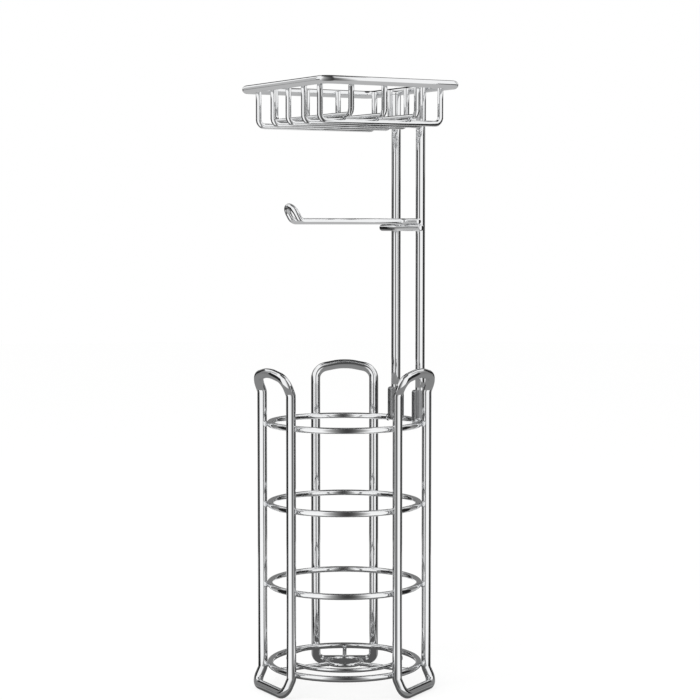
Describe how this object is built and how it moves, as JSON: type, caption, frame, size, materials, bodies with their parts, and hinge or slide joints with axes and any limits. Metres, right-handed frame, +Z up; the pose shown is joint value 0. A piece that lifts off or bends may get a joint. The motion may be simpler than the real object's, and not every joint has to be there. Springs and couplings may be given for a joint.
{
  "type": "toilet roll storage holder",
  "caption": "Free-standing chrome wire holder for toilet rolls: a round cage for spare rolls on looped legs, a plug-in post with a hairpin roll arm, and a wire basket shelf on top.",
  "frame": {"origin": "on the floor, under the axis of the round cage", "axes": "+Z up, +Y towards the post at the back, +X to the right seen from the front; X = 0 is the mirror plane"},
  "size_m": [0.1922, 0.183, 0.637],
  "materials": {
    "tube": "polished chrome plate",
    "wire": "polished chrome plate",
    "socket": "polished chrome plate"
  },
  "bodies": {
    "base": {"front_leg_loop": "tube", "right_leg_loop": "tube", "left_leg_loop": "tube", "bottom_ring": "wire", "lower_ring": "wire", "upper_ring": "wire", "top_ring": "wire", "roll_rest_ring": "wire", "rest_hub_ring": "wire", "front_rest_spoke": "wire", "right_rest_spoke": "wire", "left_rest_spoke": "wire", "left_post_socket": "socket", "right_post_socket": "socket"},
    "upper_frame": {"left_post": "tube", "right_post": "tube", "arm_cross_bar": "wire", "roll_arm": "wire", "shelf_rim": "wire", "basket_long_wire_1": "wire", "basket_long_wire_2": "wire", "basket_long_wire_3": "wire", "basket_long_wire_4": "wire", "basket_long_wire_5": "wire", "basket_cross_wire_1": "wire", "basket_cross_wire_2": "wire", "basket_cross_wire_3": "wire"}
  },
  "joints": [
    {"name": "post_lift", "type": "slide", "parent": "base", "child": "upper_frame", "axis": [0, 0, 1], "range_m": [0, 0.045]}
  ]
}
